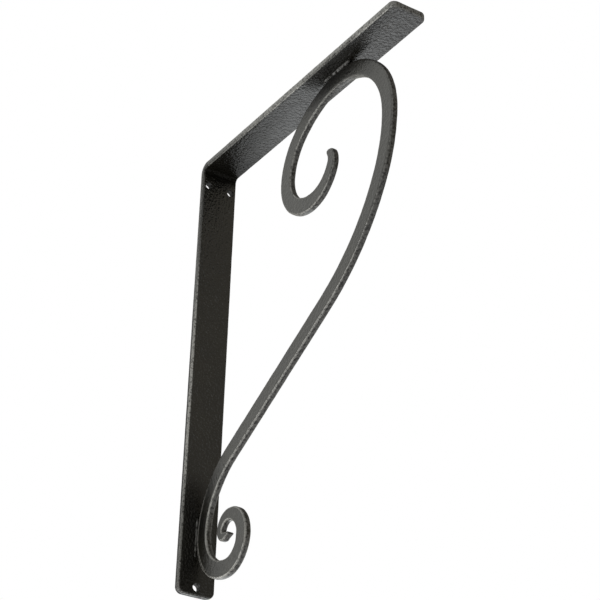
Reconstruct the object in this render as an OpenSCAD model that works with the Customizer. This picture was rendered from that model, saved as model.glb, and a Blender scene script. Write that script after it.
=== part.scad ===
// Wrought iron shelf bracket: a folded flat bar carried by a scroll bent on edge.
// +X points out from the wall, +Z is up, Y runs across the bar.
// The origin is on the wall face, midway between the two upper screw holes.

/* [Angle bar] */
// Reach of the shelf arm, from the wall to its free end
arm_reach = 330; // [275:1:400]
// Height of the wall leg, from the top of the shelf arm to its lower end
leg_height = 455; // [375:1:550]
// Width of the flat bar, which is the width of the bracket
bar_w = 38; // [34:0.5:50]
// Thickness of the flat bar
bar_t = 7; // [4:0.5:10]
// Inside radius of the fold
fold_r = 4; // [1:0.5:12]
// Radius of the corners at both free ends, in the plane of the bar
corner_r = 6.5; // [3:0.5:12]
// Width of the softened edges of the flat bar
bar_arris = 1; // [0.2:0.1:1.5]

/* [Screw holes] */
// Diameter of the three holes
hole_d = 7.6; // [4:0.1:10]
// Distance between the upper holes, centre to centre
upper_hole_gap = 25; // [16:0.5:27]
// Drop of the upper holes below the top of the shelf arm
upper_hole_drop = 25; // [20:0.5:50]
// Height of the lower hole above the lower end of the wall leg
lower_hole_rise = 8; // [6.5:0.5:14]

/* [Scroll bar] */
// Width of the scroll bar, seen from the side
scroll_w = 17; // [12:0.5:22]
// Thickness of the scroll bar, across the bracket
scroll_t = 6.5; // [4:0.5:12]
// Width of its softened edges
scroll_arris = 0.8; // [0.2:0.1:1.5]
// Distance from the free end of the shelf arm back to the crest of the scroll
crest_setback = 108.5; // [95:0.5:125]
// Height at which the lower curl touches the wall leg, above the leg's lower end
contact_rise = 54.5; // [54:0.5:70]

/* [Scroll radii, on the centre line] */
// Quarter turn from the crest down the outer side
brow_r = 78.5; // [74:0.5:82]
// First easing of the outer side
shoulder_r = 145; // [135:1:155]
// Angle of that first easing
shoulder_turn = 25; // [20:1:30]
// Second easing, which ends where the straight run begins
back_r = 206; // [190:1:220]
// Bend at the lower end of the straight run
waist_r = 90; // [80:1:100]
// Bend that brings the bar parallel to the wall
hip_r = 69; // [62:0.5:76]
// Angle of that bend
hip_turn = 29.5; // [26:0.5:33]
// First quarter of the lower curl, away from the wall
foot_r = 44; // [40:0.5:48]
// Second quarter of the lower curl
toe_r = 25; // [23:0.5:28]
// First and second eighth turn of the upper curl, back from the crest
temple_r = 94.5; // [90:0.5:99]
cheek_r = 60.5; // [57:0.5:64]
// Next quarter of the upper curl
jaw_r = 42; // [40:0.5:45]

/* [Drawn-down ends] */
// Radii of the last three turns of the lower curl
curl_r1 = 25; // [24:0.5:27]
curl_r2 = 12.6; // [12:0.1:14]
curl_r3 = 6.4; // [6:0.1:7.5]
// Angle of the last of them; the others are quarter turns
curl_turn = 98; // [80:1:110]
// Width of the bar at the end of each of those turns
curl_w1 = 11.6; // [10:0.1:14]
curl_w2 = 8.6; // [7:0.1:10]
curl_w3 = 8; // [6:0.1:9]
// Length of the point that ends it
curl_point_l = 7; // [3:0.5:8]
// Width of the bar at the end of the point
curl_point_w = 2.6; // [2.2:0.1:4]
// Radii of the last two bends of the upper curl
eye_r1 = 34.5; // [33:0.5:36]
eye_r2 = 15.5; // [12:0.5:20]
// Angle of each
eye_turn1 = 74.5; // [70:0.5:80]
eye_turn2 = 37.5; // [20:0.5:45]
// Width of the bar at the end of each
eye_w1 = 12; // [11:0.1:17]
eye_w2 = 10; // [9:0.1:14]
// Radius of the rounded corners at the point of the lower curl
point_corner_r = 1; // [0.2:0.1:1]
// Radii of the rounded corners at the upper end, on its inner and its outer side
eye_inner_r = 1.5; // [0.5:0.1:2]
eye_outer_r = 6; // [2:0.1:6]

/* [Welds] */
// Leg of the weld beads, measured on each of the two faces they join
bead_leg = 3; // [2:0.5:5]
// Length of the beads under the shelf arm
shelf_bead_l = 44; // [20:1:48]
// Length of the beads on the wall leg
wall_bead_l = 38; // [20:1:40]

/* [Hidden] */
$fn = 96;
iron = "#3b3d3e";
weld_iron = "#55585a";

shelf_top = upper_hole_drop;
shelf_under = shelf_top - bar_t;
leg_end = shelf_top - leg_height;
fold_out = fold_r + bar_t;
// Most that a chord of the scroll bar stands off its true curve
chord_gap = 0.05;
lower_hole_z = leg_end + lower_hole_rise;

// A place on the scroll's centre line is [x, z, heading in degrees].
crest = [arm_reach - crest_setback, shelf_under - scroll_w / 2, 0];
contact = [bar_t + scroll_w / 2, leg_end + contact_rise, -90];

// Centre of a bend of radius r through s; a is positive to the left, negative to the right
function hub(s, r, a) = [s[0] - sign(a) * r * sin(s[2]), s[1] + sign(a) * r * cos(s[2])];
// Place on a bend about the centre c where the heading is h
function on_bend(c, r, a, h) = [c[0] + sign(a) * r * sin(h), c[1] - sign(a) * r * cos(h), h];
// Place that the bend reaches from s, and the place from which it comes to s
function bent(s, r, a) = on_bend(hub(s, r, a), r, a, s[2] + a);
function before(s, r, a) = on_bend(hub(s, r, a), r, a, s[2] - a);
// Place reached from s by a straight length
function gone(s, l) = [s[0] + l * cos(s[2]), s[1] + l * sin(s[2]), s[2]];
// The same place, headed the other way
function turned(s) = [s[0], s[1], s[2] + 180];

// The straight run crosses between two bends and touches both: the one that starts where the
// shoulder ends, and the one that ends where the hip starts
shoulder_end = bent(bent(crest, brow_r, -90), shoulder_r, -shoulder_turn);
hip_start = before(contact, hip_r, hip_turn);
back_hub = hub(shoulder_end, back_r, -1);
waist_hub = hub(hip_start, waist_r, 1);
hub_line = waist_hub - back_hub;
run_l = sqrt(pow(norm(hub_line), 2) - pow(back_r + waist_r, 2));
run_heading = atan2(hub_line[1], hub_line[0]) - atan2(back_r + waist_r, run_l);

// Each stretch of the scroll bar is [radius, angle, width at its end]; radius 0 is straight,
// and then the second value is its length
down = [
    [brow_r, -90, scroll_w],
    [shoulder_r, -shoulder_turn, scroll_w],
    [back_r, run_heading - shoulder_end[2], scroll_w],
    [0, run_l, scroll_w],
    [waist_r, hip_start[2] - run_heading, scroll_w],
    [hip_r, hip_turn, scroll_w],
    [foot_r, 90, scroll_w],
    [toe_r, 90, scroll_w],
    [curl_r1, 90, curl_w1],
    [curl_r2, 90, curl_w2],
    [curl_r3, curl_turn, curl_w3],
    [0, curl_point_l, curl_point_w]
];
back = [
    [temple_r, 45, scroll_w],
    [cheek_r, 45, scroll_w],
    [jaw_r, 90, scroll_w],
    [eye_r1, eye_turn1, eye_w1],
    [eye_r2, eye_turn2, eye_w2]
];

// Where a stretch b that starts at s ends, or has come to after the share f of it
function along(s, b, f = 1) = b[0] == 0 ? gone(s, b[1] * f) : bent(s, b[0], b[1] * f);
// Chords of a stretch, few enough that none stands off the true curve by more than chord_gap
function chords(b) = b[0] == 0 ? 1 : ceil(abs(b[1]) / (2 * acos(1 - chord_gap / (b[0] + scroll_w / 2))));
// Places [x, z, heading, width] past s along the stretches, w being the width at s
function places(s, stretches, w, i = 0) =
    i == len(stretches) ? [] :
    let (b = stretches[i], n = chords(b))
    concat(
        [for (j = [1:n]) concat(along(s, b, j / n), w + (b[2] - w) * j / n)],
        places(along(s, b), stretches, b[2], i + 1)
    );
// Depth cut from a corner of radius r by its rounding, at l past where the longer rounding m begins
function cut(r, m, l) = r - sqrt(max(0, r * r - pow(max(0, l - m + r), 2)));
// The place p moved to its left by l
function aside(p, l) = [p[0] - l * sin(p[2]), p[1] + l * cos(p[2]), p[2]];
// The same list, with its two corners rounded off past the last place, by the radii left and right
function with_end(list, left, right) =
    let (p = list[len(list) - 1], m = max(left, right))
    concat(list, [for (a = [15:15:90])
        let (l = m * sin(a), cl = cut(left, m, l), cr = cut(right, m, l))
        concat(aside(gone(p, l), (cr - cl) / 2), p[3] - cl - cr)]);

// Flat bar section with softened edges: w across, t through
module bar_section(w, t, c) {
    polygon([
        [-w / 2 + c, -t / 2], [w / 2 - c, -t / 2], [w / 2, -t / 2 + c], [w / 2, t / 2 - c],
        [w / 2 - c, t / 2], [-w / 2 + c, t / 2], [-w / 2, t / 2 - c], [-w / 2, -t / 2 + c]
    ]);
}

// Half of that section, with softened edges on its outer side only
module rim_section(w, t, c) {
    polygon([[0, -t / 2], [w - c, -t / 2], [w, -t / 2 + c], [w, t / 2 - c], [w - c, t / 2], [0, t / 2]]);
}

// Last corner_r of the flat bar, along +X, with its two rounded corners
module rounded_end() {
    flat_w = bar_w - 2 * corner_r;
    rotate([90, 0, 0])
        translate([0, 0, -flat_w / 2])
            linear_extrude(flat_w)
                rim_section(corner_r, bar_t, bar_arris);
    for (side = [0, 1])
        mirror([0, side, 0])
            translate([0, flat_w / 2, 0])
                rotate_extrude(angle = 90)
                    rim_section(corner_r, bar_t, bar_arris);
}

module flat_bar_run(l) {
    rotate([90, 0, 90])
        linear_extrude(l)
            bar_section(bar_w, bar_t, bar_arris);
}

module angle_bar_blank() {
    shelf_l = arm_reach - corner_r - fold_out;
    leg_l = leg_height - corner_r - fold_out;
    // Shelf arm
    translate([fold_out, 0, shelf_top - bar_t / 2]) {
        flat_bar_run(shelf_l);
        translate([shelf_l, 0, 0]) rounded_end();
    }
    // Wall leg
    translate([bar_t / 2, 0, shelf_top - fold_out])
        rotate([0, 90, 0]) {
            flat_bar_run(leg_l);
            translate([leg_l, 0, 0]) rounded_end();
        }
    // Fold between them
    translate([fold_out, 0, shelf_top - fold_out])
        rotate([90, -90, 0])
            rotate_extrude(angle = 90)
                translate([fold_r + bar_t / 2, 0])
                    bar_section(bar_t, bar_w, bar_arris);
}

module screw_hole(y, z) {
    translate([-1, y, z])
        rotate([0, 90, 0])
            cylinder(h = bar_t + 2, d = hole_d);
}

module angle_bar() {
    color(iron)
        difference() {
            angle_bar_blank();
            for (y = [-upper_hole_gap / 2, upper_hole_gap / 2]) screw_hole(y, 0);
            screw_hole(0, lower_hole_z);
        }
}

// Corners of the scroll bar's section at a place p, in the plane of the scroll
function section_at(p) =
    let (e = p[3] / 2, h = scroll_t / 2, c = min(scroll_arris, 0.8 * e))
    [for (q = [[-e + c, -h], [e - c, -h], [e, -h + c], [e, h - c], [e - c, h], [-e + c, h], [-e, h - c], [-e, -h + c]])
        [p[0] - q[0] * sin(p[2]), p[1] + q[0] * cos(p[2]), q[1]]];

module scroll_bar() {
    up = with_end(places(turned(crest), back, scroll_w), eye_inner_r, eye_outer_r);
    from_eye = [for (i = [len(up) - 1:-1:0]) concat(turned(up[i]), up[i][3])];
    to_curl = with_end(places(crest, down, scroll_w), point_corner_r, point_corner_r);
    rings = concat(from_eye, [concat(crest, scroll_w)], to_curl);
    last = len(rings) - 1;
    color(iron)
        rotate([90, 0, 0])
            polyhedron(
                points = [for (p = rings) each section_at(p)],
                faces = concat(
                    [[for (k = [0:7]) k]],
                    [[for (k = [7:-1:0]) last * 8 + k]],
                    [for (i = [0:last - 1], k = [0:7])
                        let (a = i * 8 + k, b = i * 8 + (k + 1) % 8)
                        [a, a + 8, b + 8, b]]
                )
            );
}

// Weld bead along +X, in the corner between the faces y = 0 and z = 0, on the sides +Y and -Z
module bead(l) {
    full = 0.62 * bead_leg;
    rotate([90, 0, 90])
        translate([0, 0, -l / 2])
            linear_extrude(l)
                polygon([[0, 0], [0, -bead_leg], [full, -full], [bead_leg, 0]]);
}

module shelf_weld() {
    color(weld_iron)
        for (side = [0, 1])
            mirror([0, side, 0])
                translate([crest[0], scroll_t / 2, shelf_under])
                    bead(shelf_bead_l);
}

module wall_weld() {
    color(weld_iron)
        for (side = [0, 1])
            mirror([0, side, 0])
                translate([bar_t, scroll_t / 2, contact[1]])
                    rotate([0, -90, 0])
                        bead(wall_bead_l);
}

angle_bar();
scroll_bar();
shelf_weld();
wall_weld();
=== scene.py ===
import math
import bmesh
import bpy
from mathutils import Matrix, Vector, noise
from mathutils.geometry import delaunay_2d_cdt


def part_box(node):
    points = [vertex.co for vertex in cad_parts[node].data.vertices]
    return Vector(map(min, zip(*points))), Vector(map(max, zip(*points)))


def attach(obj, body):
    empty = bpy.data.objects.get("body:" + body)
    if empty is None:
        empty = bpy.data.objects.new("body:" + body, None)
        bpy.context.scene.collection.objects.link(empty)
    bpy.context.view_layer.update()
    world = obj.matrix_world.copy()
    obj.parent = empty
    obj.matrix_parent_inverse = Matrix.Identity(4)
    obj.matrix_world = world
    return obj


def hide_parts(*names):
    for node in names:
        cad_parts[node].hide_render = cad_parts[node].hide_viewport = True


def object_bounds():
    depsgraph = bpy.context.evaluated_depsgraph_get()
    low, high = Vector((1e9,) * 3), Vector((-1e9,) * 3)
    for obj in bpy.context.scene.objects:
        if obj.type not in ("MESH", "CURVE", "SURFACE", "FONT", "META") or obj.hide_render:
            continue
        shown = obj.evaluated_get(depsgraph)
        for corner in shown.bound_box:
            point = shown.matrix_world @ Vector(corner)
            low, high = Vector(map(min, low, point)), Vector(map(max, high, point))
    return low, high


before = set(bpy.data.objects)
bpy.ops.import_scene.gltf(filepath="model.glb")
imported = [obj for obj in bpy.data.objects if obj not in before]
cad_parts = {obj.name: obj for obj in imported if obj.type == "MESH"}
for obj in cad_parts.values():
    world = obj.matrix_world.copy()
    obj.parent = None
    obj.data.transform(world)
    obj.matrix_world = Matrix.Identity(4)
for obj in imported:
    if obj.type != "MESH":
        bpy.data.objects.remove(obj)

mm = 0.001
rad = math.radians
scene = bpy.context.scene
cadBox = [list(corner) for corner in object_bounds()]

# lowest and highest corners of the CAD solids; the pieces are built in millimetres
barLow, barHigh = (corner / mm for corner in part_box("angle_bar"))
scrollLow, scrollHigh = (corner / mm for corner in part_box("scroll_bar"))
shelfLow, shelfHigh = (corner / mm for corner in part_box("shelf_weld"))
wallLow, wallHigh = (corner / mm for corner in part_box("wall_weld"))
print("frame loaded, box in metres:", cadBox)


def waver(x, y, z, size, seed):
    # smooth noise between about -1 and 1, with lumps of the given size; a place that is a
    # multiple of a face, side or corner number only picks another part of the noise
    return noise.noise(Vector((x / size + seed, y / size - seed * 1.7, z / size + seed * 0.6)))


def dent(depth, x, y, z, size, seed):
    # slow unevenness that only ever goes into the metal, by 0 to depth
    return depth * (0.5 + 0.5 * waver(x, y, z, size, seed))


def ramp(value, start, end):
    # smooth step from 0 at start to 1 at end
    share = max(0.0, min(1.0, (value - start) / (end - start)))
    return share * share * (3 - 2 * share)


def overArris(rim, turn):
    # 1 at the middle of a rounded arris, falling to rim where it meets the flat faces
    return rim + (1 - rim) * math.sin(2 * turn)


def meshPiece(name, points, faces, masks, material, smoothAngle=50):
    # masks are numbers on the points that the finish reads: worn arris with a painted highlight,
    # painted highlight on the narrow sides, painted shade laid as a matte coat
    mesh = bpy.data.meshes.new(name)
    mesh.from_pydata([Vector(point) * mm for point in points], [], faces)
    mesh.validate()
    shell = bmesh.new()
    shell.from_mesh(mesh)
    bmesh.ops.recalc_face_normals(shell, faces=shell.faces)
    shell.to_mesh(mesh)
    shell.free()
    for maskName, values in masks.items():
        mesh.attributes.new(maskName, "FLOAT", "POINT").data.foreach_set("value", values)
    mesh.materials.append(material)
    mesh.polygons.foreach_set("use_smooth", [True] * len(mesh.polygons))
    mesh.set_sharp_from_angle(angle=rad(smoothAngle))
    mesh.update()
    piece = bpy.data.objects.new(name, mesh)
    scene.collection.objects.link(piece)
    return piece


def skin(rings, faces):
    # joins each ring of points to the next one
    for a, b in zip(rings, rings[1:]):
        for k in range(len(a)):
            faces.append((a[k], b[k], b[(k + 1) % len(b)], a[(k + 1) % len(a)]))


# Shader nodes: maths on wires is written as plain sums, and any other node comes from Graph.add

class Wire:
    def __init__(self, graph, socket):
        self.graph, self.socket = graph, socket

    def maths(self, operation, first, second):
        return self.graph.add("ShaderNodeMath", {"operation": operation}, {0: first, 1: second})

    def __add__(self, other): return self.maths("ADD", self, other)
    def __radd__(self, other): return self.maths("ADD", other, self)
    def __sub__(self, other): return self.maths("SUBTRACT", self, other)
    def __rsub__(self, other): return self.maths("SUBTRACT", other, self)
    def __mul__(self, other): return self.maths("MULTIPLY", self, other)
    def __rmul__(self, other): return self.maths("MULTIPLY", other, self)

    def atLeast(self, other): return self.maths("MAXIMUM", self, other)

    def between(self, low, high, start=0.0, end=1.0):
        # smooth step from start to end while this goes from low to high
        return self.graph.add("ShaderNodeMapRange", {"interpolation_type": "SMOOTHSTEP"}, {
            "Value": self, "From Min": low, "From Max": high, "To Min": start, "To Max": end})


class Graph:
    def __init__(self, owner):
        owner.use_nodes = True
        self.tree = owner.node_tree
        self.tree.nodes.clear()

    def add(self, kind, settings, values, out=0):
        node = self.tree.nodes.new(kind)
        for key, value in settings.items():
            setattr(node, key, value)
        for key, value in values.items():
            if isinstance(value, Wire):
                self.tree.links.new(value.socket, node.inputs[key])
            else:
                node.inputs[key].default_value = value
        return Wire(self, node.outputs[out]) if node.outputs else None

    def colourMix(self, share, first, second):
        # inputs 6 and 7 and output 2 are the node's colours
        return self.add("ShaderNodeMix", {"data_type": "RGBA"}, {0: share, 6: first, 7: second}, 2)

    def cloud(self, place, size, detail):
        # noise from about 0.25 to 0.75, with lumps of the given size in millimetres
        return self.add("ShaderNodeTexNoise", {}, {
            "Vector": place, "Scale": 1 / (size * mm), "Detail": detail})

    def mask(self, name):
        # output 2 is the mesh's mask as a plain number
        return self.add("ShaderNodeAttribute", {"attribute_name": name}, {}, 2)

    def rayKind(self, name):
        return self.add("ShaderNodeLightPath", {}, {}, name)


# Finish of the bars: near-black coat over hammered iron, paler on its worn arrises, which also carry
# a painted highlight, with a painted highlight on the narrow sides and painted shade laid as a dark
# matte coat. Sizes are in millimetres. Each wear, highlight and shade comes in over the part of the
# speck noise that its specks give, for the shade from one strength to another.
ironLook = {
    "base": (0.005, 0.0044, 0.0026, 1),
    "deep": (0.002, 0.0018, 0.0012, 1),
    "wearAndHighlight": (0.24, 0.235, 0.218, 1),
    "sideHighlightColour": (0.165, 0.163, 0.152, 1),
    "matteCoatAndShade": (0.0055, 0.005, 0.004, 1),
    "roughness": 0.25,
    "roughnessSpread": 0.16,
    "specular": 0.65,
    "cloudSize": 30.0,
    "cloudRange": (0.35, 0.65),
    "speckSize": 2.2,
    "arrisShareFrom": (0.4, 1.0),
    "arrisSpecks": (0.3, 0.58),
    "sideSpecks": (0.36, 0.58),
    "matteSpecks": (0.38, 0.55, 1.0, 0.9),
    "dimpleSize": 2.4,
    "dimpleDepth": 0.40,
    "grainSize": 1.0,
    "grainDepth": 0.15,
}
scrollLook = {
    **ironLook,
    "wearAndHighlight": (0.19, 0.186, 0.172, 1),
    "sideHighlightColour": (0.075, 0.073, 0.067, 1),
    "roughness": 0.3,
    "arrisSpecks": (0.2, 0.55),
    "sideSpecks": (0.36, 0.6),
    "matteSpecks": (0.35, 0.62, 1.0, 0.3),
    "dimpleDepth": 0.16,
    "grainDepth": 0.06,
}
weldLook = {
    **ironLook,
    "wearAndHighlight": (0.05, 0.048, 0.044, 1),
    "roughness": 0.38,
    "dimpleSize": 2.8,
    "dimpleDepth": 0.3,
}


def coatMaterial(name, look):
    material = bpy.data.materials.new(name)
    graph = Graph(material)
    place = graph.add("ShaderNodeTexCoord", {}, {}, "Object")
    arris, side, thickness = (graph.mask(mask) for mask in ("arris", "side", "matteCoatAndShade"))
    broad = graph.cloud(place, look["cloudSize"], detail=3.0)
    specks = graph.cloud(place, look["speckSize"], detail=4.0)
    dimples = graph.cloud(place, look["dimpleSize"], detail=1.0)
    grain = graph.cloud(place, look["grainSize"], detail=2.0)

    colour = graph.colourMix(broad.between(*look["cloudRange"]), look["deep"], look["base"])
    # painted highlight on the narrow sides, broken up by specks
    litSide = side * specks.between(*look["sideSpecks"])
    colour = graph.colourMix(litSide, colour, look["sideHighlightColour"])
    # worn arrises with a painted highlight on them, broken up by specks
    wornAndLitArris = arris.between(*look["arrisShareFrom"]) * specks.between(*look["arrisSpecks"])
    colour = graph.colourMix(wornAndLitArris, colour, look["wearAndHighlight"])

    # heights in millimetres: a depth is a share of its lumps' size
    height = (dimples * (look["dimpleDepth"] * look["dimpleSize"])
              + grain * (look["grainDepth"] * look["grainSize"]))
    bump = graph.add("ShaderNodeBump", {}, {"Strength": 1.0, "Distance": mm, "Height": height})
    roughness = (specks - 0.5) * look["roughnessSpread"] + look["roughness"]
    shiny = graph.add("ShaderNodeBsdfPrincipled", {}, {
        "Base Color": colour, "Roughness": roughness, "Normal": bump,
        "Specular IOR Level": look["specular"]})
    # painted shade: a dark matte diffuse mixed over the shine by the shade mask, here called
    # thickness
    matte = graph.add("ShaderNodeBsdfDiffuse", {}, {"Color": look["matteCoatAndShade"], "Normal": bump})
    share = thickness * specks.between(*look["matteSpecks"])
    both = graph.add("ShaderNodeMixShader", {}, {0: share, 1: shiny, 2: matte})
    graph.add("ShaderNodeOutputMaterial", {}, {"Surface": both})
    return material


ironFinish = coatMaterial("coatedIron", ironLook)
scrollFinish = coatMaterial("coatedScrollIron", scrollLook)
weldFinish = coatMaterial("coatedWeld", weldLook)
print("finishes made")

# Arrises of both bars: how a rounded corner is stepped, and its slow and quick waver
arrisTurns = (0, 22.5, 45, 67.5, 90)
arrisLumps = (9, 3)
quickWaver = 0.6


# Angle bar: a flat bar laid out as a strip with rounded arrises and three drilled holes, then folded.
# Along the strip, s runs from the arm's free end over the fold to the leg's lower end,
# v is across it and w is the depth below the outer face.
angleBar = {
    # shape
    "thickness": 7.0,
    "foldInside": 4.0,
    "cornerRadius": 6.5,
    "holeRadius": 3.8,
    "holeGap": 25.0,
    "lowerHoleRise": 8.0,
    "arris": 1.3,
    "arrisWaver": 0.25,
    "leastArris": 0.3,
    "holeArris": 0.3,
    "holeArrisWaver": 0.12,
    "crown": 0.35,
    # unevenness: depth and size of its lumps, then the even rim and how far inside it they grow
    "unevenFace": (0.10, 22),
    "unevenEdge": (0.06, 14),
    "unevenSide": (0.06, 12),
    "evenRim": 1.5,
    "hollowGrowth": 4.0,
    # how finely the mesh is laid out, and how clear of the rims
    "spacing": 2.5,
    "foldSpacing": 0.8,
    "cornerSteps": 8,
    "cornerClear": 1.0,
    "holeSteps": 28,
    "sideShares": (0.3, 0.5, 0.7),
    "rimClear": 2.6,
    "holeClear": 1.6,
    # painted shade, laid as a dark matte coat: its share, then how far it reaches; a depth is a share
    # of the thickness
    "foldShade": 1.0,
    "foldReach": 10.0,
    "armShade": 0.72,
    "armReach": 195.0,
    "armSlant": 0.4,
    "armAcross": (-10, 10),
    "weldShade": 0.66,
    "weldShift": 6.5,   # of the painted shadow patch along the arm, off the weld's middle
    "weldReach": (30.0, 54.0),
    "weldAcross": (-3, 1),
    "footShade": 0.68,
    "footReach": (125.0, 85.0),
    "footFade": 0.6,
    "footAcross": (-4, 8),
    "innerDepth": (0.6, 1.0),
    "outerShade": 0.7,
    "outerDepth": (0.4, 0.7),
    "sideShade": 0.3,
    "sideReach": (50.0, 190.0),
    "boreShade": 0.8,
    # painted highlights on the narrow sides and arrises, over the arrises' wear
    "armSideLightReach": 100.0,
    "legLightSpan": (50.0, 220.0, 430.0),
    "legLightFade": 0.45,
    "legLightFadeAfter": 30.0,
    "arrisRim": 0.25,
    "endArris": 0.25,
    "endReach": (0.5, 1.5),   # in corner radii from the arm's end
    "innerArris": 0.5,
    "legArrisLight": 0.9,
    "legOuterDimmed": 0.35,
    "sideDepth": (0.35, 0.75),
    "nearDepth": (0.4, 0.7),
}


def buildAngleBar():
    c = angleBar
    thick, half, radius = c["thickness"], (barHigh.y - barLow.y) / 2, c["cornerRadius"]
    foldOut = c["foldInside"] + thick
    armLength = barHigh.x - foldOut
    foldLength = math.pi / 2 * (c["foldInside"] + thick / 2)
    foldEnd = armLength + foldLength
    total = foldEnd + barHigh.z - foldOut - barLow.z
    # middle of the painted shadow round the shelf weld
    shadowMiddle = (shelfLow.x + shelfHigh.x) / 2 + c["weldShift"]

    def folded(s, v, w):
        if s < armLength:
            return (barHigh.x - s, v, barHigh.z - w)
        if s > foldEnd:
            return (w, v, barHigh.z - foldOut - (s - foldEnd))
        turn = (s - armLength) / foldLength * math.pi / 2
        reach = foldOut - w
        return (foldOut - reach * math.sin(turn), v, barHigh.z - foldOut + reach * math.cos(turn))

    def legHighlight(s):
        # painted highlight on the leg: not at the fold, most halfway down
        away, (start, most, end) = s - foldEnd, c["legLightSpan"]
        fade = c["legLightFade"] * ramp(away, most + c["legLightFadeAfter"], end)
        return ramp(away, start, most) * (1 - fade)

    def outerDimming(s):
        # painted shade that grows down the upper part of the leg, on its outer arrises
        return ramp(s - foldEnd, *c["legLightSpan"][:2])

    def matteCoatAndShade(s, v, w, side):
        # painted shade, laid as a share of dark matte coat: inside the fold, thinning along the arm,
        # and round both welds
        away = max(armLength - s, s - foldEnd, 0.0)
        coat = c["foldShade"] * (1 - ramp(away, 0, c["foldReach"]))
        if s < armLength:
            reach = c["armReach"] * (1 - c["armSlant"] * ramp(v, *c["armAcross"]))
            coat = max(coat, c["armShade"] * (1 - ramp(away, 0, reach)))
            weldShadow = c["weldShade"] * (1 - ramp(abs(barHigh.x - s - shadowMiddle), *c["weldReach"]))
            coat = max(coat, weldShadow * (1 - ramp(v, *c["weldAcross"])))
        foot = c["footShade"] * ramp(s, *(total - reach for reach in c["footReach"]))
        coat = max(coat, foot * (1 - c["footFade"] * ramp(v, *c["footAcross"])))
        onSide = 0.0
        if s > armLength:
            onSide = max(c["sideShade"] * (1 - ramp(s - foldEnd, *c["sideReach"])),
                         c["outerShade"] * outerDimming(s) * (1 - ramp(w / thick, *c["outerDepth"])))
        return max(coat * ramp(w / thick, *c["innerDepth"]), side * onSide)

    def arrisWearAndLight(s, v, face):
        # the arrises are worn and carry a painted highlight, except at the arm's end; on the leg one
        # of the inner ones has the most painted highlight
        if s < foldEnd:
            return c["endArris"] + (1 - c["endArris"]) * ramp(s / radius, *c["endReach"])
        if face:
            return c["innerArris"] + (c["legArrisLight"] * legHighlight(s) if v < 0 else 0.0)
        return 1 - (1 - c["legOuterDimmed"]) * outerDimming(s)

    def sideHighlightShare(s, w):
        # painted highlight on the narrow side: all of it on the arm, its inner half on the leg
        if s < armLength:
            return ramp(armLength - s, 0, c["armSideLightReach"])
        return legHighlight(s) * ramp(w / thick, *c["sideDepth"])

    def spaced(start, end, spacing):
        count = max(2, round((end - start) / spacing))
        return [start + (end - start) * k / count for k in range(count)]

    stations = (spaced(0, armLength, c["spacing"]) + spaced(armLength, foldEnd, c["foldSpacing"])
                + spaced(foldEnd, total, c["spacing"]) + [total])
    rows = spaced(-half, half, c["spacing"])[1:]

    # the strip's outline and the holes, as loops of (s, v, inward s, inward v)
    def arc(s, v, r, start, end, count, inward=-1):
        turns = [rad(start + (end - start) * k / count) for k in range(count + 1)]
        return [(s + r * math.cos(a), v + r * math.sin(a), inward * math.cos(a), inward * math.sin(a))
                for a in turns]

    def corner(s, v, start):
        return arc(s, v, radius, start, start + 90, c["cornerSteps"])

    cornerS, cornerV, clear = total - radius, half - radius, c["cornerClear"]
    along = [s for s in stations if radius + clear < s < cornerS - clear]
    across = [v for v in rows if abs(v) < cornerV - clear]
    outline = (corner(radius, -cornerV, 180) + [(s, -half, 0, 1) for s in along]
               + corner(cornerS, -cornerV, 270) + [(total, v, -1, 0) for v in across]
               + corner(cornerS, cornerV, 0) + [(s, half, 0, -1) for s in reversed(along)]
               + corner(radius, cornerV, 90) + [(0, v, 1, 0) for v in reversed(across)])
    upperHoles = foldEnd + barHigh.z - foldOut
    holes = [(upperHoles, -c["holeGap"] / 2), (upperHoles, c["holeGap"] / 2),
             (total - c["lowerHoleRise"], 0.0)]

    points, flat, faces = [], [], []
    masks = {"arris": [], "side": [], "matteCoatAndShade": []}

    def put(s, v, w, arris, side, bore=0.0):
        points.append(folded(s, v, w))
        flat.append((s, v))
        masks["arris"].append(arris)
        masks["side"].append(side * sideHighlightShare(s, w))
        masks["matteCoatAndShade"].append(max(bore, matteCoatAndShade(s, v, w, side)))
        return len(points) - 1

    def wall(loop, arris, arrisWaver, crown, unevenEdge, unevenSide, side, bore, seed):
        # rings of points from the outer face, round the edge, to the inner face
        slow, quick = arrisLumps
        rings = []
        for face in (0, 1):
            softs = []
            for s, v, _, _ in loop:
                wobble = (waver(s, v, face * 9, slow, seed)
                          + quickWaver * waver(s, v, face * 5, quick, seed))
                softs.append(max(c["leastArris"], arris + arrisWaver * wobble))
            for degrees in (arrisTurns if face == 0 else reversed(arrisTurns)):
                turn = rad(degrees)
                ring = []
                for (s, v, ns, nv), soft in zip(loop, softs):
                    deep = soft * (1 - math.cos(turn))
                    hollow = dent(unevenEdge[0], s, v, face * 4, unevenEdge[1], seed + 3)
                    inset = (soft * (1 - math.sin(turn)) + crown * (1 - 2 * deep / thick) ** 2
                             + hollow * math.sin(turn))
                    ring.append(put(s + ns * inset, v + nv * inset,
                                    deep if face == 0 else thick - deep,
                                    arrisWearAndLight(s, v, face) * overArris(c["arrisRim"], turn),
                                    side * math.sin(turn), bore * math.sin(turn)))
                rings.append(ring)
            for share in c["sideShares"] if face == 0 else ():
                ring = []
                for s, v, ns, nv in loop:
                    hollow = dent(unevenSide[0], s, v, share * 9, unevenSide[1], seed + 3)
                    inset = crown * (1 - 2 * share) ** 2 + hollow
                    # a painted highlight on the inner part of the leg's near narrow side
                    near = side * ramp(share, *c["nearDepth"]) if s > foldEnd and v < 0 else 0.0
                    ring.append(put(s + ns * inset, v + nv * inset, thick * share,
                                    legHighlight(s) * near, side, bore))
                rings.append(ring)
        skin([list(reversed(ring)) for ring in rings], faces)
        return rings[0], rings[-1]

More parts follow.
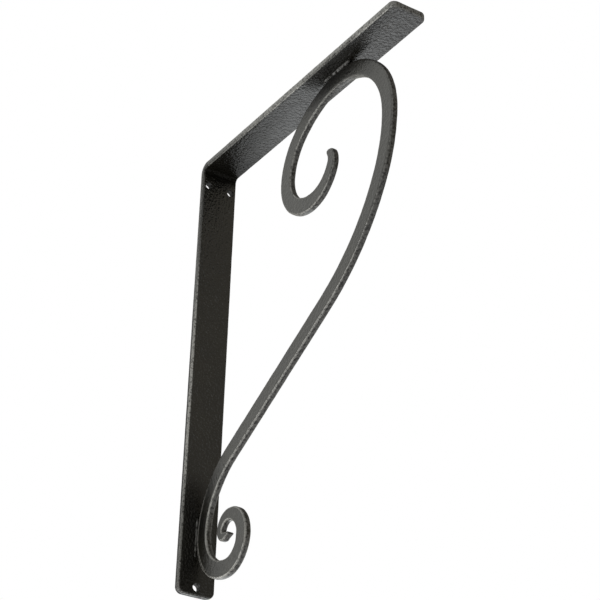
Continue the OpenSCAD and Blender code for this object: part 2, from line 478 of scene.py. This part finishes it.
    edges = [wall(outline, c["arris"], c["arrisWaver"], c["crown"], c["unevenEdge"], c["unevenSide"],
                  side=1.0, bore=0.0, seed=1.3)]
    for index, (s, v) in enumerate(holes):
        steps = c["holeSteps"]
        loop = arc(s, v, c["holeRadius"], 0, -360 + 360 / steps, steps - 1, inward=1)
        edges.append(wall(loop, c["holeArris"], c["holeArrisWaver"], 0.0, (0.0, 1), (0.0, 1),
                          side=0.0, bore=c["boreShade"], seed=5.1 + index))

    def rimDistance(s, v):
        # from the strip's outline, its rounded corners included
        pastS, pastV = max(radius - s, s - cornerS, 0), max(abs(v) - cornerV, 0)
        near = min(half - abs(v), s, total - s)
        return min(near, radius - math.hypot(pastS, pastV)) if pastS and pastV else near

    def inHole(s, v):
        reach = c["holeRadius"] + c["holeClear"]
        return any(math.hypot(s - holeS, v - holeV) < reach for holeS, holeV in holes)

    for face in (0, 1):
        coords, owners, fences = [], [], []
        for edge in edges:
            first, ring = len(coords), edge[face]
            coords += [Vector(flat[k]) for k in ring]
            owners += ring
            fences += [(first + k, first + (k + 1) % len(ring)) for k in range(len(ring))]
        for s in stations[1:-1]:
            for v in rows:
                near = rimDistance(s, v)
                if near < c["rimClear"] or inHole(s, v):
                    continue
                depth, lumps = c["unevenFace"]
                deep = (dent(depth, s, v, face * 40, lumps, 2.2)
                        * min(1.0, (near - c["evenRim"]) / c["hollowGrowth"]))
                coords.append(Vector((s, v)))
                owners.append(put(s, v, deep if face == 0 else thick - deep, 0.0, 0.0))
        # output kind 1 keeps the triangles inside the outline;
        # those that fill a hole have all their corners on its rim
        found = delaunay_2d_cdt(coords, fences, [], 1, 1e-6)
        rims = [set(edge[face]) for edge in edges[1:]]
        for triangle in found[2]:
            corners = tuple(owners[found[3][k][0]] for k in triangle)
            if not any(rim.issuperset(corners) for rim in rims):
                faces.append(corners)
    return meshPiece("angleBar", points, faces, masks, ironFinish)


# Scroll bar: one flat bar on edge, bent through these stretches. Each stretch is
# (radius, degrees, width at its end); radius 0 is straight and then the second value is its length,
# and None is worked out so that the straight run touches the bends on both sides of it.
scrollBar = {
    # shape
    "thickness": 6.5,
    "width": 17.0,
    "crestSetback": 108.5,
    "contactRise": 54.5,
    "down": [(78.5, -90, 17), (145, -25, 17), (206, None, 17), (0, None, 17), (90, None, 17),
             (69, 29.5, 17), (44, 90, 17), (25, 90, 17), (25, 90, 11.6), (12.6, 90, 8.6),
             (6.4, 98, 8), (0, 7, 2.6)],
    "back": [(94.5, 45, 17), (60.5, 45, 17), (42, 90, 17), (34.5, 74.5, 12), (15.5, 37.5, 10)],
    "pointCorners": (1.0, 1.0),
    "eyeCorners": (1.5, 6.0),
    "arris": 1.9,
    "arrisWaver": 0.3,
    "leastArris": 0.4,
    "mostArris": 0.3,   # as a share of the width
    # unevenness: depth and size of its lumps
    "unevenFace": (0.10, 18),
    "unevenEdge": (0.08, 14),
    "unevenSide": (0.08, 12),
    # how finely the mesh is laid out
    "step": 1.5,
    "endStep": 10,
    "faceShares": (0.06, 0.25, 0.5, 0.75, 0.94),
    "sideShares": (0.3, 0.7),
    "faceRim": 0.2,   # the share of the width over which the hollows grow
    # painted shade and painted highlights, over the arrises' wear
    "arrisRim": 0.3,
    # painted shade on the narrow sides
    "sideShade": (0.4, 0.15),   # on the -Y and the +Y half of the narrow sides
    # painted highlights on the -Y face's edge near the leg and lower down the arrises; painted shade
    # on the brow's arrises
    "wallHighlight": 0.65,
    "wallReach": (22.0, 48.0),
    "lowHighlight": 0.35,
    "lowReach": (300.0, 400.0),
    "browShade": 0.35,
    "browFrom": (180.0, 230.0),
    "browReach": (150.0, 260.0),
}


def hub(place, r, a):
    # centre of the bend of radius r through a place (x, z, heading), to its left where a is positive
    r = math.copysign(r, a)
    return (place[0] - r * math.sin(place[2]), place[1] + r * math.cos(place[2]))


def bent(place, r, a, forward=1):
    # the place that the bend reaches, or with forward -1 the one from which it comes
    middle, heading, r = hub(place, r, a), place[2] + forward * a, math.copysign(r, a)
    return (middle[0] + r * math.sin(heading), middle[1] - r * math.cos(heading), heading)


def scrollPath():
    # places (x, z, heading, width) along the bar, from its upper end to its lower point
    c = scrollBar
    crest = (barHigh.x - c["crestSetback"], scrollHigh.z - c["width"] / 2, 0.0)
    contact = (scrollLow.x + c["width"] / 2, barLow.z + c["contactRise"], rad(-90))
    brow, shoulder, (backR, _, _), _, (waistR, _, _), hip = c["down"][:6]
    shoulderEnd = bent(bent(crest, brow[0], rad(brow[1])), shoulder[0], rad(shoulder[1]))
    hipStart = bent(contact, hip[0], rad(hip[1]), forward=-1)
    backHub, waistHub = hub(shoulderEnd, backR, -1), hub(hipStart, waistR, 1)
    lineX, lineZ = waistHub[0] - backHub[0], waistHub[1] - backHub[1]
    runLength = math.sqrt(lineX ** 2 + lineZ ** 2 - (backR + waistR) ** 2)
    runHeading = math.atan2(lineZ, lineX) - math.atan2(backR + waistR, runLength)
    down = [list(stretch) for stretch in c["down"]]
    down[2][1] = math.degrees(runHeading - shoulderEnd[2])
    down[3][1] = runLength
    down[4][1] = math.degrees(hipStart[2] - runHeading)

    def places(start, stretches, width):
        found, here = [], start
        for r, amount, endWidth in stretches:
            count = max(2, math.ceil((amount if r == 0 else r * rad(abs(amount))) / c["step"]))
            for k in range(1, count + 1):
                share = k / count
                if r == 0:
                    gone = amount * share
                    place = (here[0] + gone * math.cos(here[2]), here[1] + gone * math.sin(here[2]),
                             here[2])
                else:
                    place = bent(here, r, rad(amount) * share)
                found.append((*place, width + (endWidth - width) * share))
            here, width = found[-1][:3], endWidth
        return found

    def withEnd(found, corners):
        # rounds the left and the right corner of an end by their own radii
        x, z, heading, width = found[-1]
        longer = max(corners)
        for degrees in range(c["endStep"], 91, c["endStep"]):
            gone = longer * math.sin(rad(degrees))
            left, right = (r - math.sqrt(max(0.0, r * r - max(0.0, gone - longer + r) ** 2))
                           for r in corners)
            aside = (right - left) / 2
            found.append((x + gone * math.cos(heading) - aside * math.sin(heading),
                          z + gone * math.sin(heading) + aside * math.cos(heading),
                          heading, width - left - right))
        return found

    up = withEnd(places((crest[0], crest[1], rad(180)), c["back"], c["width"]), c["eyeCorners"])
    # sections taken backwards keep their sides when the heading turns half round
    fromEye = [(x, z, heading - math.pi, width) for x, z, heading, width in reversed(up)]
    toPoint = withEnd(places(crest, down, c["width"]), c["pointCorners"])
    return fromEye + [(*crest, c["width"])] + toPoint


def buildScrollBar():
    c = scrollBar
    half = c["thickness"] / 2
    slow, quick = arrisLumps
    points, faces, rings = [], [], []
    masks = {"arris": [], "side": [], "matteCoatAndShade": []}

    def crossSection(length, width, nearWall):
        # points round the bar: (across it, through it, arris, side)
        section = []
        for corner, (e, t) in enumerate(((-1, -1), (1, -1), (1, 1), (-1, 1))):
            wobble = (waver(length, corner * 31, 0, slow, 0.7)
                      + quickWaver * waver(length, corner * 17, 3, quick, 1.9))
            soft = c["arris"] + c["arrisWaver"] * wobble
            soft = min(max(c["leastArris"], soft), width * c["mostArris"])
            reach, depth = width / 2 - soft, half - soft
            edgeDent = dent(c["unevenEdge"][0], length, corner, 5, c["unevenEdge"][1], 4.4)
            start = (180, 270, 0, 90)[corner]
            for turn in arrisTurns:
                a = rad(start + turn)
                q = e * reach + soft * math.cos(a) - e * edgeDent * abs(math.cos(a))
                wearAndHighlight = overArris(c["arrisRim"], rad(turn))
                section.append((q, t * depth + soft * math.sin(a), wearAndHighlight, abs(math.cos(a))))
            # points along the broad face or the narrow side that follows the corner
            if corner in (0, 2):
                for share in c["faceShares"]:
                    q = e * reach * (1 - 2 * share)
                    grown = min(1.0, min(share, 1 - share) / c["faceRim"])
                    faceDent = grown * dent(c["unevenFace"][0], length, q, corner * 20,
                                            c["unevenFace"][1], 6.2)
                    # a painted highlight along this edge of the face near the leg
                    atEdge = corner == 2 and share == c["faceShares"][-1]
                    wearAndHighlight = c["wallHighlight"] * nearWall if atEdge else 0.0
                    section.append((q, t * (half - faceDent), wearAndHighlight, 0.0))
            else:
                for share in c["sideShares"]:
                    p = t * (1 - 2 * share) * depth
                    sideDent = dent(c["unevenSide"][0], length, p, corner * 20,
                                    c["unevenSide"][1], 6.2)
                    section.append((e * (width / 2 - sideDent), p, 0.0, 1.0))
        return section

    path = scrollPath()
    length = 0.0
    for index, (x, z, heading, width) in enumerate(path):
        length += math.hypot(x - path[index - 1][0], z - path[index - 1][1]) if index else 0.0
        fallen = scrollHigh.z - z
        # painted shade on the brow's arrises, and a stronger painted highlight on them lower down
        onBrow = ramp(x, *c["browFrom"]) * (1 - ramp(fallen, *c["browReach"]))
        arrisLightScale = (1 - c["browShade"] * onBrow) * (1 + c["lowHighlight"] * ramp(fallen, *c["lowReach"]))
        first = len(points)
        for q, p, arris, side in crossSection(length, width, 1 - ramp(x, *c["wallReach"])):
            points.append((x - q * math.sin(heading), -p, z + q * math.cos(heading)))
            masks["arris"].append(arris * arrisLightScale)
            # the narrow sides carry the painted highlight, and painted shade on their -Y and +Y
            # halves
            masks["side"].append(side)
            masks["matteCoatAndShade"].append(side * c["sideShade"][p < 0])
        rings.append(list(range(first, len(points))))
    skin(rings, faces)
    faces.append(tuple(rings[0]))
    faces.append(tuple(reversed(rings[-1])))
    return meshPiece("scrollBar", points, faces, masks, scrollFinish)


# Weld beads: short rippled fillets on both sides of the scroll bar, at the arm and at the leg
weldBead = {
    "shelfLeg": 2.4,
    "wallLeg": 1.7,
    "spare": 0.4,
    "taper": 5.0,
    "endLeg": 0.3,
    "unevenLeg": (0.14, 5),   # share of the leg and size of the lumps
    "ripple": 2.6,
    "rippleDepth": 0.10,
    "rippleWaver": (0.3, 6),
    "bulge": (0.84, 0.06, 2.5),   # middle, spread and size of the lumps
    "bulgePower": 1.5,
    "coatPatches": (0.5, 0.9, 3.0),   # middle, spread and size of the patches
    "step": 0.5,
    "crossSteps": 7,
    "smoothAngle": 80,
}


def buildBead(name, length, fullLeg, place, seed):
    # place maps (along, out, down, side) to a point; out and down run along the two joined faces
    c = weldBead
    uneven, unevenSize = c["unevenLeg"]
    drift, driftSize = c["rippleWaver"]
    fullness, spread, bulgeSize = c["bulge"]
    points, faces = [], []
    masks = {"arris": [], "side": [], "matteCoatAndShade": []}
    count = round(length / c["step"])
    for side in (-1, 1):
        rings = []
        for i in range(count + 1):
            along = -length / 2 + length * i / count
            share = min(1.0, (length / 2 - abs(along)) / c["taper"])
            leg = fullLeg * (c["endLeg"] + (1 - c["endLeg"]) * math.sqrt(1 - (1 - share) ** 2))
            leg *= 1 - dent(uneven, along, side * 7, 0, unevenSize, seed)
            pitch = along / c["ripple"] + drift * waver(along, side * 3, 2, driftSize, seed + 2)
            leg *= 1 - c["rippleDepth"] * (0.5 + 0.5 * math.cos(2 * math.pi * pitch))
            ring = []
            for k in range(c["crossSteps"] + 1):
                a = math.pi / 2 * k / c["crossSteps"]
                bulge = fullness + spread * waver(along, k * 1.3, side * 5, bulgeSize, seed + 4)
                r = leg * (bulge + (1 - bulge) * abs(math.cos(2 * a)) ** c["bulgePower"])
                points.append(place(along, side * r * math.cos(a), r * math.sin(a), side))
                # the pale arris colour at the bead's crest is a painted highlight along it
                masks["arris"].append(math.sin(2 * a))
                ring.append(len(points) - 1)
            points.append(place(along, 0.0, 0.0, side))
            masks["arris"].append(0.0)
            ring.append(len(points) - 1)
            rings.append(ring if side < 0 else list(reversed(ring)))
        skin(rings, faces)
        faces.append(tuple(rings[0]))
        faces.append(tuple(reversed(rings[-1])))
    coat, coatSpread, coatSize = c["coatPatches"]
    masks["side"] = [0.0] * len(points)
    masks["matteCoatAndShade"] = [
        max(0.0, min(1.0, coat + coatSpread * waver(*point, coatSize, seed + 6))) for point in points]
    return meshPiece(name, points, faces, masks, weldFinish, c["smoothAngle"])


angleBarPiece = buildAngleBar()
print("angle bar:", len(angleBarPiece.data.polygons), "faces")
scrollBarPiece = buildScrollBar()
print("scroll bar:", len(scrollBarPiece.data.polygons), "faces")

sideY = scrollBar["thickness"] / 2


# places of the beads under the arm, and of those on the leg
def underArm(along, out, down, side):
    return ((shelfLow.x + shelfHigh.x) / 2 + along, out + side * sideY, shelfHigh.z - down)


def onLeg(along, out, down, side):
    return (wallLow.x + down, out + side * sideY, (wallLow.z + wallHigh.z) / 2 - along)


shelfLength, wallLength = (reach - weldBead["spare"]
                           for reach in (shelfHigh.x - shelfLow.x, wallHigh.z - wallLow.z))
shelfWeldPiece = buildBead("shelfWeld", shelfLength, weldBead["shelfLeg"], underArm, seed=2.0)
wallWeldPiece = buildBead("wallWeld", wallLength, weldBead["wallLeg"], onLeg, seed=3.0)
print("welds made")

for piece, node, slot in ((angleBarPiece, "angle_bar", "coated_iron"),
                          (scrollBarPiece, "scroll_bar", "coated_iron"),
                          (shelfWeldPiece, "shelf_weld", "coated_weld"),
                          (wallWeldPiece, "wall_weld", "coated_weld")):
    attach(piece, "root")
    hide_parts(node)


# Camera: turned round the middle of the bracket's box, in degrees and metres
cameraSet = {
    "azimuth": 57.547,
    "elevation": -28.963,
    "roll": 1.83,
    "distance": 1.634,
    "lens": 107.72,
    "sensor": 36,
    "clip": (0.05, 50),
    "aim": (-0.02497, 0.01550, 0.02041),
}
middle = (Vector(cadBox[0]) + Vector(cadBox[1])) / 2
azimuth, elevation, roll = (rad(cameraSet[key]) for key in ("azimuth", "elevation", "roll"))
toCamera = Vector((math.sin(azimuth) * math.cos(elevation),
                   -math.cos(azimuth) * math.cos(elevation), math.sin(elevation)))
camera = bpy.data.objects.new("camera", bpy.data.cameras.new("camera"))
camera.data.lens, camera.data.sensor_width = cameraSet["lens"], cameraSet["sensor"]
camera.data.clip_start, camera.data.clip_end = cameraSet["clip"]
turned = toCamera.to_track_quat("Z", "Y").to_matrix() @ Matrix.Rotation(roll, 3, "Z")
stand = middle + Vector(cameraSet["aim"]) + toCamera * cameraSet["distance"]
camera.matrix_world = Matrix.LocRotScale(stand, turned, None)
scene.collection.objects.link(camera)
scene.camera = camera


# Floor and room
studio = {
    "floorDrop": 0.85,
    "floorReach": 6,
    "floorColour": (0.8, 0.8, 0.8, 1),
    "floorGlow": 0.85,
    "world": 0.4,
    # what the coat mirrors: a pale room that is darker and warmer on one side
    "surround": 1.0,
    "surroundColour": (1.0, 1.0, 0.95, 1),
    "shade": (0.10, 0.39),
    "shadeAcross": (-0.6, 0.65),
    "shadeColour": (1.0, 0.93, 0.78, 1),
    "shadeTowards": (0.2, 0.8, 0.55),
    "shadeEdges": (0.15, 0.7),
}
# each lamp: the way it stands from the bracket, distance, width, brightness of its face, colour
lamps = {
    "belowPanel": ((-0.80, 0.38, -0.46), 1.65, 1.4, 1.05, (0.93, 0.98, 1.0)),
    "sidePanel": ((0.05, -0.86, -0.45), 1.7, 1.5, 3.6, (1.0, 1.0, 0.97)),
    "lowPanel": ((-0.74, -0.36, -0.54), 1.6, 1.3, 2.7, (1.0, 1.0, 0.97)),
    "underPanel": ((0.08, -0.22, -0.97), 0.95, 0.5, 3.4, (1.0, 1.0, 0.97)),
}
for name, (towards, distance, size, brightness, colour) in lamps.items():
    lamp = bpy.data.lights.new(name, "AREA")
    lamp.shape, lamp.size, lamp.color = "DISK", size, colour
    lamp.energy = brightness * (math.pi * size / 2) ** 2   # watts for a disk of that brightness
    holder = bpy.data.objects.new(name, lamp)
    direction = Vector(towards).normalized()
    tilt = direction.to_track_quat("Z", "Y")
    holder.matrix_world = Matrix.LocRotScale(middle + direction * distance, tilt, None)
    holder.visible_camera = False
    scene.collection.objects.link(holder)

# the floor is pale; to the camera and in reflections it is nearly white and keeps the shadow
floorMaterial = bpy.data.materials.new("paleFloor")
graph = Graph(floorMaterial)
white = graph.add("ShaderNodeEmission", {}, {"Color": (1, 1, 1, 1), "Strength": 1.0})
plain = graph.add("ShaderNodeBsdfDiffuse", {}, {"Color": studio["floorColour"]})
seen = graph.rayKind("Is Camera Ray").atLeast(graph.rayKind("Is Glossy Ray"))
seen = seen.atLeast(graph.rayKind("Is Transmission Ray"))
both = graph.add("ShaderNodeMixShader", {}, {0: seen * studio["floorGlow"], 1: plain, 2: white})
graph.add("ShaderNodeOutputMaterial", {}, {"Surface": both})
floorMesh = bpy.data.meshes.new("floor")
low, reach = cadBox[0][2] - studio["floorDrop"], studio["floorReach"]
floorMesh.from_pydata([(-reach, -reach, low), (reach, -reach, low), (reach, reach, low),
                       (-reach, reach, low)], [], [(0, 1, 2, 3)])
floorMesh.materials.append(floorMaterial)
floor = bpy.data.objects.new("floor", floorMesh)
scene.collection.objects.link(floor)

# the world is white to the camera, and the pale room to the coat
world = bpy.data.worlds.new("studio")
scene.world = world
graph = Graph(world)
outward = graph.add("ShaderNodeTexCoord", {}, {}, "Generated")
shadeWay = Vector(studio["shadeTowards"]).normalized()
facing = graph.add("ShaderNodeVectorMath", {"operation": "DOT_PRODUCT"},
                   {0: outward, 1: shadeWay}, "Value")
across = graph.add("ShaderNodeSeparateXYZ", {}, {0: outward}, "X")
darkest = across.between(*studio["shadeAcross"], *studio["shade"])
mirrored = facing.between(*studio["shadeEdges"], studio["surround"], darkest)
glossy = graph.rayKind("Is Glossy Ray")
strength = glossy * mirrored + (1 - glossy) * studio["world"]
strength = strength.atLeast(graph.rayKind("Is Camera Ray"))
strength = strength.atLeast(graph.rayKind("Is Transmission Ray"))
tint = graph.colourMix(facing.between(*studio["shadeEdges"]),
                       studio["surroundColour"], studio["shadeColour"])
tint = graph.colourMix(glossy, (1, 1, 1, 1), tint)
background = graph.add("ShaderNodeBackground", {}, {"Color": tint, "Strength": strength})
graph.add("ShaderNodeOutputWorld", {}, {"Surface": background})
scene.view_settings.view_transform = "Standard"
print("camera, floor and lights made")
